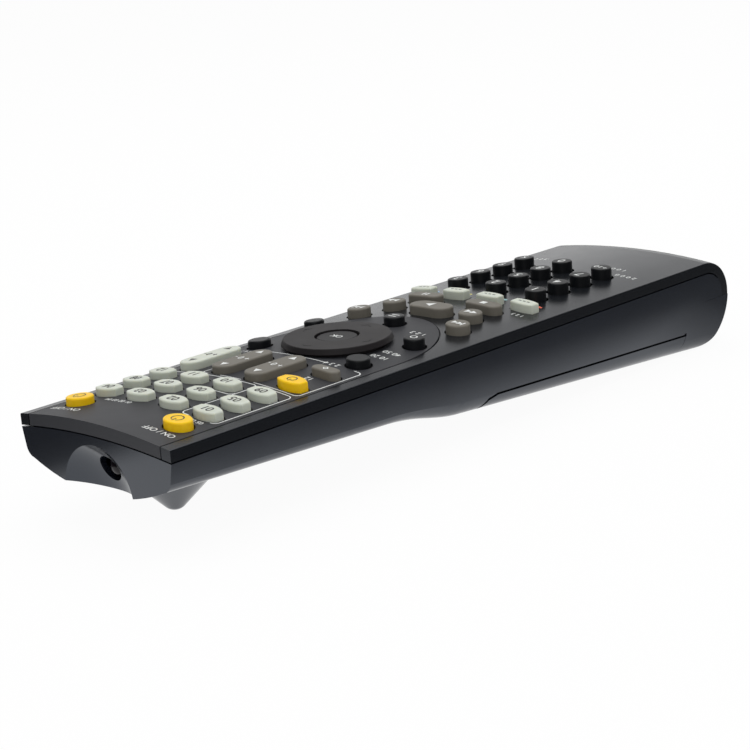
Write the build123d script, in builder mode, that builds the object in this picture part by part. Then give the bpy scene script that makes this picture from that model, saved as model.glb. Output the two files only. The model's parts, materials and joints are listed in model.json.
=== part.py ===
from build123d import *
from math import cos, radians, sin, sqrt, tan
import os

# A handheld remote control that lies on its tail and on a small foot.
# Millimetres, +Z up, origin on the table below the middle of the case.
# The sending end points to +Y, and the legends read from the tail.
# A setback is a distance behind the front edge, and a depth is a distance below the crown.

# Driving dimensions of the case
WIDTH = 55.0
LENGTH = 216.1
CROWN_Z = 27.1
CROWN_DROP = 1.71
HALF_WIDTH = WIDTH / 2
FRONT_Y = LENGTH / 2
CROWN_RADIUS = (HALF_WIDTH**2 + CROWN_DROP**2) / (2 * CROWN_DROP)

# The tail rolls under on two quarter turns that share one level
TAIL_AXIS_DEPTH = 13.0
UPPER_ROLL_RADIUS = 13.0
UPPER_ROLL_SETBACK = LENGTH - UPPER_ROLL_RADIUS
LOWER_ROLL_RADIUS = 15.5
LOWER_ROLL_SETBACK = LENGTH - LOWER_ROLL_RADIUS
GAP_FADE_ANGLE = 45.0

# The keel-shaped front section, measured at the front edge
SIDE_BREAK_DEPTH = 4.9
KEEL_SLOPE = 0.045
KEEL_WALL_FOOT = (26.5, 9.85)
KEEL_CORNER = (25.6, 11.4)
KEEL_EDGE = (24.0, 12.2)
KEEL_DEPTH = 17.1

# The boxy battery section, measured at its own start
BOX_SETBACK = 99.0
BOX_SLOPE = 0.0703
BOX_DEPTH = 20.2
BOX_CORNER_RADIUS = 4.0
BOX_HALF_WIDTH = 26.4
BOX_BELLY = 0.1

# Stretch in which one section grows into the other
BLEND_START = 72.0
BLEND_END = 97.0
BLEND_STATIONS = (BLEND_START, 77.0, 82.0, 87.0, 92.0, BLEND_END)
LOFT_END = 218.0

# Walls, seams and clearances
EDGE_HEIGHT = 2.85
SEAM_GAP = 0.35
FADED_GAP = 0.06
TOP_WALL = 1.6
SIDE_WALL = 1.8
LOWER_WALL = 1.6
PANEL_THICKNESS = 1.0
PANEL_HALF_WIDTH = 24.2
PANEL_STRAIGHT = 77.0
PANEL_END = 109.0
PANEL_GROOVE = 0.4
PANEL_LIP = 0.9
PANEL_RISE = 0.33
RAIL_ROUND = 0.4
FIT = 0.1
TOUCH = 0.02

# Keys
KEY_CLEARANCE = 0.4
WIDE_CLEARANCE = 0.55
FLANGE_REACH = 0.5
FLANGE_THICKNESS = 0.5
FLANGE_SLACK = 0.1
ROCKER_SLACK = 0.55
KEY_EDGE_ROUND = 0.5
NUMBER_EDGE_ROUND = 0.35

# Dial
DIAL_SETBACK = 79.7
DIAL_TOP_RADIUS = 13.9
DIAL_RIM_RADIUS = 14.5
DIAL_RIM_THICKNESS = 1.4
DIAL_NECK_RADIUS = 12.6
DIAL_BORE_RADIUS = 5.85
DIAL_HEIGHT = 2.35
DIAL_FLANGE_RADIUS = 13.8
DIAL_FLANGE_DEPTH = 2.84
DIAL_EDGE_ROUND = 0.35
DIAL_CLEARANCE = 0.5
ENTER_RADIUS = 5.4
ENTER_HEIGHT = 2.1
ENTER_EDGE_ROUND = 0.6
ENTER_DEPTH = 4.1
ENTER_FLANGE_RADIUS = 6.3
ENTER_FLANGE_THICKNESS = 0.4
ACTUATOR_INNER = 6.7
ACTUATOR_OUTER = 9.5
ACTUATOR_DEPTH = 3.8
ACTUATOR_THICKNESS = 0.5
PIVOT_WIDTH = 0.6
PIVOT_GAP = 0.02
DIAL_ROOM_RADIUS = 10.3

# Inner stack
MAT_DEPTH = 4.45
MAT_THICKNESS = 0.5
BOARD_THICKNESS = 0.8
BOARD_DEPTH = MAT_DEPTH + MAT_THICKNESS
BOARD_HALF_WIDTH = 23.8
BOARD_START = 5.0
BOARD_END = 186.0
MAT_START = 6.0
MAT_END = 179.0
# Parts on the board: place across, setback, length across, width along, height
BOARD_PARTS = (
    (-8.0, 96.0, 12.0, 9.0, 1.6),
    (5.0, 98.0, 5.0, 3.2, 1.2),
    (9.0, 60.0, 4.0, 4.0, 1.2),
    (-12.0, 30.0, 3.2, 1.6, 0.8),
)
BOSS_PLACES = ((0.0, 12.8), (-21.3, 79.0), (21.3, 79.0), (-7.1, 137.8), (7.1, 137.8))
BOSS_RADIUS = 2.0
SCREW_RADIUS = 0.95
SCREW_HEAD_RADIUS = 2.1
SCREW_HEAD_THICKNESS = 1.2
SCREW_LENGTH = 3.2
SCREW_FIT = 0.05
BOSS_CLEARANCE = 0.3
TONGUE_INNER = 24.4
TONGUE_OUTER = 25.6
TONGUE_FRONT = 1.9
TONGUE_END = 200.0
TONGUE_WALL = 1.2
TONGUE_ROOT = 0.3
TONGUE_ROOT_DEPTH = 10.0
FRONT_TONGUE_ROOT = (4.5, 8.0)

# Sending window
SCOOP_ARCH_RADIUS = 12.6
SCOOP_TOP_DEPTH = 5.2
SCOOP_REACH = 5.5
LED_DEPTH = 11.8
LED_RADIUS = 2.8
LED_TIP_SETBACK = 4.7
LED_LENGTH = 8.6
LED_RIM_RADIUS = 3.3
LED_RIM_THICKNESS = 1.0
LED_HOLE_RADIUS = 3.3
LED_RIM_ROOM = 3.5
LED_LEG = 0.5
LED_LEG_SPACING = 2.54
LED_BEND_SETBACK = 17.0

# Foot below the sending end
FOOT_SETBACK = 21.9
FOOT_TIP_RADIUS = 0.4
FOOT_ROUND = 2.8
FOOT_ANGLE = 45.0
FOOT_BASE_DEPTH = 15.0
FOOT_HOLLOW = 2.2

# Battery door, seen from the side
DOOR_WALL = 1.5
DOOR_SEAT = 1.8
DOOR_SEAT_BACK = 3.0
DOOR_SEAT_MARGIN = 2.5
DOOR_GAP = 0.25
DOOR_TOP_GAP = 0.45
DOOR_STEP_HEIGHT = 0.45
DOOR_STEP_DEPTH = 0.3
DOOR_TOP_FRONT = (110.8, 17.55)
DOOR_FRONT_MIDDLE = (107.3, 18.3)
DOOR_FRONT_FOOT = (103.6, 21.4)
DOOR_TOP_REAR = (193.7, 21.4)
DOOR_REAR_MIDDLE = (192.4, 23.6)
DOOR_REAR_FOOT = (187.3, 28.0)
DOOR_GRIP_SETBACK = 111.0
DOOR_GRIP_SIZE = (15.0, 7.0)
DOOR_GRIP_ROUND = 3.0
DOOR_GRIP_DEPTH = 0.5

DOOR_SIDE = [
    DOOR_TOP_FRONT,
    DOOR_FRONT_MIDDLE,
    DOOR_FRONT_FOOT,
    DOOR_REAR_FOOT,
    DOOR_REAR_MIDDLE,
    DOOR_TOP_REAR,
]

# Batteries: two round cells side by side, laid along the sloping floor
CELL_RADIUS = 7.1
CELL_LENGTH = 49.5
CELL_NUB_RADIUS = 2.7
CELL_NUB_LENGTH = 1.0
CELL_SPACING = 14.6
CELL_FRONT = 144.9
CELL_AXIS_DEPTH = 14.1
CELL_TILT = 4.02
BAY_START = 142.2
BAY_END = 197.0
BAY_HALF_WIDTH = 15.2
BAY_WALL = 1.2
BAY_ROOF_DEPTH = 6.2
BAY_ROOF = 0.5
CELL_NUBS = ((-CELL_SPACING / 2, -CELL_NUB_LENGTH), (CELL_SPACING / 2, CELL_LENGTH))
CONTACT_PLATE = 0.4
CONTACT_SIZE = 9.0
SPRING_RADIUS = 3.2
SPRING_TIP_RADIUS = 2.2
SPRING_LENGTH = 1.6

# Reach of the tools that cut or limit
FAR = 60.0
OVERRUN = 5.0
PRISM_BASE_DEPTH = 6.0
PRISM_HEIGHT = 12.0
KEY_BLOCK = 15.0


def along(setback):
    # Y of a place that lies a setback behind the front edge.
    return FRONT_Y - setback


def level(depth):
    # Z of a place that lies a depth below the crown.
    return CROWN_Z - depth


def crown(x, depth=0.0):
    # Z of the crowned face, lowered by a depth, at a distance x from the middle.
    return CROWN_Z - CROWN_RADIUS + sqrt((CROWN_RADIUS - depth) ** 2 - x**2)


def station(setback):
    # Upright plane across the case. Extruding from it runs towards the tail.
    return Plane.XZ.offset(setback - FRONT_Y)


def roll_plane(setback, angle):
    # Half plane that turns about the axis of the tail roll: 0 is up, 90 is back.
    turn = radians(angle)
    origin = (0, along(setback), level(TAIL_AXIS_DEPTH))
    return Plane(origin=origin, x_dir=(1, 0, 0), z_dir=(0, -cos(turn), -sin(turn)))


def mix(first, second, share):
    return first + (second - first) * share


def rail_edges(edges):
    # Outer edges of the two rails, at the rim of the crowned top.
    rim = crown(HALF_WIDTH)
    found = []
    for edge in edges:
        middle = edge.center()
        if abs(abs(middle.X) - HALF_WIDTH) < TOUCH and abs(middle.Z - rim) < TOUCH:
            found.append(edge)
    return found


def section_points(setback, inset):
    # Right half of the case's cross-section, from the wall's break down to the middle.
    fall = KEEL_SLOPE * setback
    floor = BOX_DEPTH + BOX_SLOPE * (setback - BOX_SETBACK)
    middle = BOX_HALF_WIDTH - BOX_CORNER_RADIUS
    bend = BOX_CORNER_RADIUS * sin(radians(45))
    keel = [
        (KEEL_WALL_FOOT[0], KEEL_WALL_FOOT[1] + fall),
        (KEEL_CORNER[0], KEEL_CORNER[1] + fall),
        (KEEL_EDGE[0], KEEL_EDGE[1] + fall),
        (0.0, KEEL_DEPTH + fall),
    ]
    box = [
        (BOX_HALF_WIDTH, floor - BOX_CORNER_RADIUS),
        (middle + bend, floor - BOX_BELLY - BOX_CORNER_RADIUS + bend),
        (middle, floor - BOX_BELLY),
        (0.0, floor),
    ]
    part_way = min(max((setback - BLEND_START) / (BLEND_END - BLEND_START), 0.0), 1.0)
    share = part_way * part_way * (3 - 2 * part_way)
    points = []
    for near, far in zip(keel, box):
        across = mix(near[0], far[0], share)
        depth = mix(near[1], far[1], share)
        if across > 0:
            across -= inset
        points.append((across, level(depth - inset)))
    return points


def case_loft(inset, start):
    # Solid through the case's cross-sections, each drawn in by the inset.
    side = HALF_WIDTH - inset
    top = crown(side)
    side_break = level(SIDE_BREAK_DEPTH)
    with BuildPart() as loft_body:
        for group in ((start, BLEND_START), BLEND_STATIONS, (BLEND_END, LOFT_END)):
            for setback in group:
                foot, corner, edge, keel = section_points(setback, inset)
                with BuildSketch(station(setback)):
                    with BuildLine():
                        ThreePointArc((-side, top), (0, crown(0)), (side, top))
                        Line((side, top), (side, side_break))
                        Line((side, side_break), foot)
                        ThreePointArc(foot, corner, edge)
                        ThreePointArc(edge, keel, (-edge[0], edge[1]))
                        ThreePointArc((-edge[0], edge[1]), (-corner[0], corner[1]), (-foot[0], foot[1]))
                        Line((-foot[0], foot[1]), (-side, side_break))
                        Line((-side, side_break), (-side, top))
                    make_face()
            loft(ruled=len(group) == 2)
    return loft_body.part


def crowned_block(depth, half_width, start, end):
    # Everything below the crowned face lowered by a depth, between two setbacks.
    edge = crown(half_width, depth)
    with BuildPart() as block:
        with BuildSketch(station(start)):
            with BuildLine():
                ThreePointArc((-half_width, edge), (0, crown(0, depth)), (half_width, edge))
                Line((half_width, edge), (half_width, -OVERRUN))
                Line((half_width, -OVERRUN), (-half_width, -OVERRUN))
                Line((-half_width, -OVERRUN), (-half_width, edge))
            make_face()
        extrude(amount=end - start)
    return block.part


def panel_block(half_width, end):
    # Everything below the panel's own crown, which stands proud of the case in the middle.
    edge = crown(PANEL_HALF_WIDTH)
    fall = (PANEL_RISE + CROWN_Z - edge) / PANEL_HALF_WIDTH**2
    side = CROWN_Z + PANEL_RISE - fall * half_width**2
    with BuildPart() as block:
        with BuildSketch(station(0)):
            with BuildLine():
                ThreePointArc((-half_width, side), (0, CROWN_Z + PANEL_RISE), (half_width, side))
                Line((half_width, side), (half_width, -OVERRUN))
                Line((half_width, -OVERRUN), (-half_width, -OVERRUN))
                Line((-half_width, -OVERRUN), (-half_width, side))
            make_face()
        extrude(amount=end)
    return block.part


def roll_sector(setback, radius, depth, start, end):
    # Part of the barrel-shaped tail, lowered by a depth, between two angles.
    half = HALF_WIDTH + OVERRUN
    rim = radius + crown(half, depth) - CROWN_Z
    with BuildPart() as sector:
        with BuildSketch(roll_plane(setback, start)):
            with BuildLine():
                ThreePointArc((-half, rim), (0, radius - depth), (half, rim))
                Polyline((half, rim), (half, 0), (-half, 0), (-half, rim))
            make_face()
        axis = Axis((0, along(setback), level(TAIL_AXIS_DEPTH)), (1, 0, 0))
        revolve(axis=axis, revolution_arc=end - start)
    return sector.part


def span_box(half_width, start, end, top_depth, bottom_depth):
    # Box between two setbacks and two depths, centred across the case.
    with BuildPart() as box:
        with BuildSketch(station(start)):
            with Locations((0, level((top_depth + bottom_depth) / 2))):
                Rectangle(2 * half_width, bottom_depth - top_depth)
        extrude(amount=end - start)
    return box.part


def tail_limit(inset):
    # The room that the rounded tail and the flat base leave, drawn in by the inset.
    base_depth = CROWN_Z - inset
    upper = roll_sector(UPPER_ROLL_SETBACK, UPPER_ROLL_RADIUS, inset, 0, 90)
    lower = roll_sector(LOWER_ROLL_SETBACK, LOWER_ROLL_RADIUS, inset, 90, 180)
    straight = span_box(FAR, -OVERRUN, LOWER_ROLL_SETBACK, -OVERRUN, base_depth)
    step = span_box(FAR, LOWER_ROLL_SETBACK - 1, UPPER_ROLL_SETBACK, -OVERRUN, TAIL_AXIS_DEPTH)
    above_base = span_box(FAR, -OVERRUN, LENGTH + OVERRUN, -OVERRUN, base_depth)
    with BuildPart() as limit:
        add(straight)
        add(step)
        add(upper)
        add(lower)
        add(above_base, mode=Mode.INTERSECT)
    return limit.part


def case_space(inset, start):
    # The whole outer form of the case, drawn in by the inset.
    body = case_loft(inset, start)
    limit = tail_limit(inset)
    with BuildPart() as space:
        add(body)
        add(limit, mode=Mode.INTERSECT)
    return space.part


def below_seam(gap):
    # Everything under the upper case, at a gap below its edge.
    depth = EDGE_HEIGHT + gap
    faded = EDGE_HEIGHT + min(gap, FADED_GAP)
    block = crowned_block(depth, HALF_WIDTH + OVERRUN, -OVERRUN, UPPER_ROLL_SETBACK)
    open_turn = roll_sector(UPPER_ROLL_SETBACK, UPPER_ROLL_RADIUS, depth, 0, GAP_FADE_ANGLE)
    faded_turn = roll_sector(UPPER_ROLL_SETBACK, UPPER_ROLL_RADIUS, faded, GAP_FADE_ANGLE, 90)
    under_top = TAIL_AXIS_DEPTH + min(gap, FADED_GAP)
    under = span_box(FAR, UPPER_ROLL_SETBACK - 1, LENGTH + OVERRUN, under_top, CROWN_Z + OVERRUN)
    with BuildPart() as below:
        add(block)
        add(open_turn)
        add(faded_turn)
        add(under)
    return below.part


def panel_prism(shrink, front):
    # Upright prism on the plan of the face panel: straight sides and a long oval end.
    half = PANEL_HALF_WIDTH - shrink
    reach = PANEL_END - PANEL_STRAIGHT - shrink
    with BuildPart() as prism:
        with BuildSketch(Plane.XY.offset(level(PRISM_BASE_DEPTH))):
            with Locations((0, along(PANEL_STRAIGHT))):
                Ellipse(half, reach)
            with Locations((0, along((PANEL_STRAIGHT + front) / 2))):
                Rectangle(2 * half, PANEL_STRAIGHT - front)
        extrude(amount=PRISM_HEIGHT)
    return prism.part


def key_plan(shape, length, width, grow=0.0):
    # One key seen from above. Lens keys bulge between two short flat ends.
    length += 2 * grow
    width += 2 * grow
    with BuildSketch() as plan:
        if shape == "round":
            Ellipse(length / 2, width / 2)
        elif shape == "pill":
            SlotOverall(length, width)
        elif shape == "long":
            SlotOverall(width, length, rotation=90)
        else:
            end = width * LENS_END[shape] / 2
            with BuildLine():
                ThreePointArc((-length / 2, end), (0, width / 2), (length / 2, end))
                Line((length / 2, end), (length / 2, -end))
                ThreePointArc((length / 2, -end), (0, -width / 2), (-length / 2, -end))
                Line((-length / 2, -end), (-length / 2, end))
            make_face()
    return plan.sketch


LENS_END = {"lens": 0.5, "blunt": 0.7}
WIDE_HOLES = ("number_key", "top_menu_key", "menu_key", "return_key", "setup_key", "display_key")

# Each key: name, plan, length across, width along, place across, setback, height
INPUT_PITCH = (11.99, 8.41)
INPUT_FIRST = 19.8
NUMBER_PITCH = (14.13, 9.73)
NUMBER_FIRST = 142.15
OUTER_COLUMN = 17.98
INNER_COLUMN = 5.99

KEYS = [
    ("receiver_power_key", "round", 7.5, 6.3, -OUTER_COLUMN, 10.8, 2.2),
    ("source_power_key", "round", 7.5, 6.3, OUTER_COLUMN, 10.8, 2.1),
    ("tv_power_key", "lens", 7.8, 5.2, -OUTER_COLUMN, 46.6, 2.4),
    ("tv_input_key", "pill", 8.4, 3.6, -OUTER_COLUMN, 57.8, 2.25),
    ("top_menu_key", "round", 6.0, 6.0, -17.9, 69.05, 2.2),
    ("menu_key", "round", 6.0, 6.0, 17.9, 69.05, 2.2),
    ("return_key", "round", 5.4, 5.4, -18.1, 89.1, 2.7),
    ("setup_key", "round", 5.4, 5.4, 18.1, 89.1, 2.7),
    ("display_key", "round", 5.6, 5.6, 0.0, 101.0, 2.7),
    ("skip_back_key", "round", 6.4, 6.4, -17.9, 105.95, 2.5),
    ("skip_forward_key", "round", 6.4, 6.4, 17.9, 105.95, 2.5),
    ("rewind_key", "round", 6.4, 6.4, -13.8, 115.6, 2.5),
    ("fast_forward_key", "round", 6.4, 6.4, 13.8, 115.6, 2.5),
    ("play_key", "pill", 13.6, 6.6, 0.0, 115.5, 2.5),
    ("stop_key", "pill", 11.5, 4.6, -10.5, 124.8, 2.4),
    ("pause_key", "pill", 11.5, 4.6, 10.5, 124.8, 2.4),
    ("red_key", "blunt", 7.4, 4.2, -18.2, 132.5, 2.4),
    ("green_key", "blunt", 7.4, 4.2, -6.1, 132.5, 2.4),
    ("yellow_key", "blunt", 7.4, 4.2, 6.1, 132.5, 2.4),
    ("blue_key", "blunt", 7.4, 4.2, 18.2, 132.5, 2.4),
]
ROCKERS = [
    ("tv_volume_rocker", "long", 6.6, 18.4, -INNER_COLUMN, 52.4, 2.25),
    ("channel_rocker", "long", 6.6, 18.0, INNER_COLUMN, 52.4, 2.25),
    ("volume_rocker", "long", 6.6, 18.4, OUTER_COLUMN, 52.4, 2.25),
]
for row in range(3):
    for column in range(4):
        label = f"input_key_{row * 4 + column + 1:02d}"
        across = (column - 1.5) * INPUT_PITCH[0]
        KEYS.append((label, "lens", 7.6, 5.2, across, INPUT_FIRST + row * INPUT_PITCH[1], 2.1))
for row in range(4):
    for column in range(3):
        label = f"number_key_{row * 3 + column + 1:02d}"
        across = (column - 1) * NUMBER_PITCH[0]
        KEYS.append((label, "round", 5.8, 5.8, across, NUMBER_FIRST + row * NUMBER_PITCH[1], 3.0))


def build_key(shape, length, width, across, setback, height, slack, rounding):
    # A key with a rounded top that follows the crown, and a flange that keeps it in the case.
    reach = abs(across) + length / 2 + KEY_CLEARANCE + FLANGE_REACH
    flange_top = crown(reach, TOP_WALL) - slack
    ceiling = crowned_block(-height, HALF_WIDTH, setback - KEY_BLOCK, setback + KEY_BLOCK)
    plan = key_plan(shape, length, width)
    flange_plan = key_plan(shape, length, width, KEY_CLEARANCE + FLANGE_REACH)
    with BuildPart() as key:
        with BuildSketch(Plane.XY.offset(flange_top - FLANGE_THICKNESS)):
            with Locations((across, along(setback))):
                add(plan)
        extrude(amount=PRISM_HEIGHT)
        add(ceiling, mode=Mode.INTERSECT)
        fillet(key.faces().sort_by(Axis.Z)[-1].edges(), rounding)
        with BuildSketch(Plane.XY.offset(flange_top - FLANGE_THICKNESS)):
            with Locations((across, along(setback))):
                add(flange_plan)
        extrude(amount=FLANGE_THICKNESS)
    return key.part


def key_wells():
    # Upright prisms through which all keys pass. The black keys have wider holes.
    plans = []
    for name, shape, length, width, across, setback, height in KEYS + ROCKERS:
        clearance = WIDE_CLEARANCE if name.startswith(WIDE_HOLES) else KEY_CLEARANCE
        plans.append((key_plan(shape, length, width, clearance), across, along(setback)))
    with BuildPart() as wells:
        with BuildSketch(Plane.XY.offset(level(PRISM_BASE_DEPTH))):
            for plan, across, y in plans:
                with Locations((across, y)):
                    add(plan)
            with Locations((0, along(DIAL_SETBACK))):
                Circle(DIAL_NECK_RADIUS + DIAL_CLEARANCE)
        extrude(amount=PRISM_HEIGHT)
    return wells.part


def side_prism(points, grow):
    # Prism across the case on an outline seen from the side, grown by an amount.
    with BuildPart() as prism:
        with BuildSketch(Plane.YZ):
            with BuildLine():
                Polyline(*[(along(setback), level(depth)) for setback, depth in points], close=True)
            make_face()
            if grow > 0:
                offset(amount=grow, kind=Kind.INTERSECTION)
        extrude(amount=FAR, both=True)
    return prism.part


def foot_cone(lift):
    # Cone that points down, with a rounded tip, lifted off the table by an amount.
    turn = radians(FOOT_ANGLE)
    bend = (FOOT_TIP_RADIUS + FOOT_ROUND * sin(turn), FOOT_ROUND * (1 - cos(turn)))
    half_turn = turn / 2
    bend_middle = (FOOT_TIP_RADIUS + FOOT_ROUND * sin(half_turn), FOOT_ROUND * (1 - cos(half_turn)))
    top = level(FOOT_BASE_DEPTH)
    rim = bend[0] + (top - bend[1]) / tan(turn)
    with BuildPart() as cone:
        with BuildSketch(Plane.XZ.offset(-along(FOOT_SETBACK))):
            with BuildLine():
                Line((0, 0), (FOOT_TIP_RADIUS, 0))
                ThreePointArc((FOOT_TIP_RADIUS, 0), bend_middle, bend)
                Line(bend, (rim, top))
                Line((rim, top), (0, top))
                Line((0, top), (0, 0))
            make_face()
        revolve(axis=Axis((0, along(FOOT_SETBACK), 0), (0, 0, 1)))
    return cone.part.moved(Location((0, 0, lift)))


def scoop_ball(extra):
    # Ball that hollows the front below its top line, thickened by an extra.
    radius = (SCOOP_ARCH_RADIUS**2 + SCOOP_REACH**2) / (2 * SCOOP_REACH)
    with BuildPart() as ball:
        with Locations((0, along(SCOOP_REACH - radius), level(SCOOP_TOP_DEPTH + SCOOP_ARCH_RADIUS))):
            Sphere(radius + extra)
    return ball.part


def cell_plane(across, reach):
    # Plane square to a cell's axis, at a reach from the cell's front end.
    tilt = radians(CELL_TILT)
    origin = (
        across,
        along(CELL_FRONT + reach * cos(tilt)),
        level(CELL_AXIS_DEPTH + reach * sin(tilt)),
    )
    return Plane(origin=origin, x_dir=(1, 0, 0), z_dir=(0, -cos(tilt), -sin(tilt)))


def save(part, name):
    part.label = name
    export_step(part, f"parts/{name}.step")


os.makedirs("parts", exist_ok=True)

# Shared forms
outer_form = case_space(0.0, 0)
wells = key_wells()
panel_floor = crowned_block(PANEL_THICKNESS, HALF_WIDTH + OVERRUN, -OVERRUN, PANEL_END + OVERRUN)
panel_top = panel_block(HALF_WIDTH, PANEL_END + OVERRUN)

# Upper case: a thin crowned shell with a deeper rim, two rails and a rolled tail
above_cut = below_seam(0.0)
shell_pocket = crowned_block(TOP_WALL, HALF_WIDTH - SIDE_WALL, SIDE_WALL, UPPER_ROLL_SETBACK)
panel_hole = panel_prism(-PANEL_GROOVE / 2, -OVERRUN)
shelf_half = PANEL_HALF_WIDTH + PANEL_GROOVE / 2
panel_shelf = span_box(shelf_half, -OVERRUN, PANEL_LIP + FIT, -OVERRUN, 2 * OVERRUN)
with BuildPart() as panel_recess:
    add(panel_hole)
    add(panel_floor, mode=Mode.SUBTRACT)
    add(panel_shelf)
with BuildPart() as upper_case:
    add(outer_form)
    add(above_cut, mode=Mode.SUBTRACT)
    add(shell_pocket, mode=Mode.SUBTRACT)
    for across, setback in BOSS_PLACES:
        with BuildSketch(Plane.XY.offset(level(BOARD_DEPTH))):
            with Locations((across, along(setback))):
                Circle(BOSS_RADIUS)
        extrude(amount=BOARD_DEPTH - TOP_WALL)
    add(panel_recess.part, mode=Mode.SUBTRACT)
    add(wells, mode=Mode.SUBTRACT)
    for across, setback in BOSS_PLACES:
        with BuildSketch(Plane.XY.offset(level(BOARD_DEPTH))):
            with Locations((across, along(setback))):
                Circle(SCREW_RADIUS + SCREW_FIT)
        extrude(amount=SCREW_LENGTH - BOARD_THICKNESS + FIT, mode=Mode.SUBTRACT)
    fillet(rail_edges(upper_case.edges()), RAIL_ROUND)
save(upper_case.part, "upper_case")

# Face panel: a crowned insert with a lip over the front edge
panel_plan = panel_prism(PANEL_GROOVE / 2, 0)
lip_cut = crowned_block(EDGE_HEIGHT, HALF_WIDTH, -OVERRUN, PANEL_LIP)
lip = panel_block(PANEL_HALF_WIDTH - PANEL_GROOVE / 2, PANEL_LIP)
with BuildPart() as face_panel:
    add(panel_plan)
    add(panel_top, mode=Mode.INTERSECT)
    add(panel_floor, mode=Mode.SUBTRACT)
    add(lip)
    add(lip_cut, mode=Mode.SUBTRACT)
    add(wells, mode=Mode.SUBTRACT)
save(face_panel.part, "face_panel")

# Lower case: keel, battery box, tongue, foot, sending window and a seat for the door
seam_room = below_seam(SEAM_GAP)
cavity = case_space(LOWER_WALL, SIDE_WALL)
inner_top = crowned_block(TOP_WALL, TONGUE_OUTER, TONGUE_FRONT, TONGUE_END)
tongue_sides = span_box(TONGUE_OUTER, TONGUE_FRONT, TONGUE_END, -OVERRUN, TONGUE_ROOT_DEPTH)
tongue_room = span_box(TONGUE_INNER, TONGUE_FRONT, TONGUE_END, -OVERRUN, TONGUE_ROOT_DEPTH + OVERRUN)
tongue_front = span_box(TONGUE_OUTER, TONGUE_FRONT, SIDE_WALL + TONGUE_WALL, -OVERRUN, FRONT_TONGUE_ROOT[1])
front_root = span_box(TONGUE_INNER, SIDE_WALL - TONGUE_ROOT, SIDE_WALL + TONGUE_WALL, *FRONT_TONGUE_ROOT)
with BuildPart() as tongue:
    add(tongue_sides)
    add(tongue_room, mode=Mode.SUBTRACT)
    add(tongue_front)
    add(inner_top, mode=Mode.INTERSECT)
    add(front_root)

bay_block_end = BAY_END + BAY_WALL
bay_block_half = BAY_HALF_WIDTH + BAY_WALL
bay_block = span_box(bay_block_half, BAY_START - BAY_WALL, bay_block_end, BAY_ROOF_DEPTH, CROWN_Z)
bay_room = span_box(BAY_HALF_WIDTH, BAY_START, BAY_END, BAY_ROOF_DEPTH + BAY_ROOF, CROWN_Z)
with BuildPart() as bay_hole:
    add(bay_room)
    add(cavity, mode=Mode.INTERSECT)

door_inside = case_space(DOOR_WALL, SIDE_WALL)
seat_face = case_space(DOOR_SEAT, SIDE_WALL)
seat_back = case_space(DOOR_SEAT_BACK, SIDE_WALL)
with BuildPart() as seat:
    add(side_prism(DOOR_SIDE, DOOR_GAP + DOOR_SEAT_MARGIN))
    add(door_inside, mode=Mode.INTERSECT)
    add(seat_back, mode=Mode.SUBTRACT)
opening_side = [(point[0], point[1] - DOOR_TOP_GAP + DOOR_GAP) for point in DOOR_SIDE]
with BuildPart() as door_hole:
    add(side_prism(opening_side, DOOR_GAP))
    add(seat_face, mode=Mode.SUBTRACT)
step_face = case_space(DOOR_STEP_DEPTH, -OVERRUN)
step_side = [(point[0], point[1] - DOOR_STEP_HEIGHT) for point in opening_side]
with BuildPart() as door_step:
    add(side_prism(step_side, DOOR_GAP))
    add(step_face, mode=Mode.SUBTRACT)

with BuildPart() as scoop_wall:
    add(scoop_ball(LOWER_WALL))
    add(outer_form, mode=Mode.INTERSECT)
    add(seam_room, mode=Mode.INTERSECT)

with BuildPart() as bay_walls:
    add(bay_block)
    add(outer_form, mode=Mode.INTERSECT)

led_rear = LED_TIP_SETBACK + LED_LENGTH
rim_front = led_rear - LED_RIM_THICKNESS - FIT
with BuildPart() as led_room:
    with BuildSketch(station(0)):
        with Locations((0, level(LED_DEPTH))):
            Circle(LED_HOLE_RADIUS)
    extrude(amount=led_rear)
    with BuildSketch(station(rim_front)):
        with Locations((0, level(LED_DEPTH))):
            Circle(LED_RIM_ROOM)
    extrude(amount=LED_RIM_THICKNESS + OVERRUN)

with BuildPart() as lower_case:
    add(outer_form)
    add(seam_room, mode=Mode.INTERSECT)
    add(foot_cone(0.0))
    add(cavity, mode=Mode.SUBTRACT)
    add(foot_cone(FOOT_HOLLOW), mode=Mode.SUBTRACT)
    add(tongue.part)
    add(scoop_wall.part)
    add(bay_walls.part)
    add(seat.part)
    add(bay_hole.part, mode=Mode.SUBTRACT)
    add(door_hole.part, mode=Mode.SUBTRACT)
    add(door_step.part, mode=Mode.SUBTRACT)
    add(scoop_ball(0.0), mode=Mode.SUBTRACT)
    add(led_room.part, mode=Mode.SUBTRACT)
save(lower_case.part, "lower_case")

# Battery door: the floor and the lower sides of the battery box
with BuildPart() as battery_door:
    add(side_prism(DOOR_SIDE, 0.0))
    add(outer_form, mode=Mode.INTERSECT)
    add(door_inside, mode=Mode.SUBTRACT)
    grip_depth = BOX_DEPTH + BOX_SLOPE * (DOOR_GRIP_SETBACK - BOX_SETBACK) - DOOR_GRIP_DEPTH
    with BuildSketch(Plane.XY.offset(level(grip_depth))):
        with Locations((0, along(DOOR_GRIP_SETBACK))):
            RectangleRounded(*DOOR_GRIP_SIZE, DOOR_GRIP_ROUND)
    extrude(amount=-OVERRUN, mode=Mode.SUBTRACT)
save(battery_door.part, "battery_door")

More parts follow.
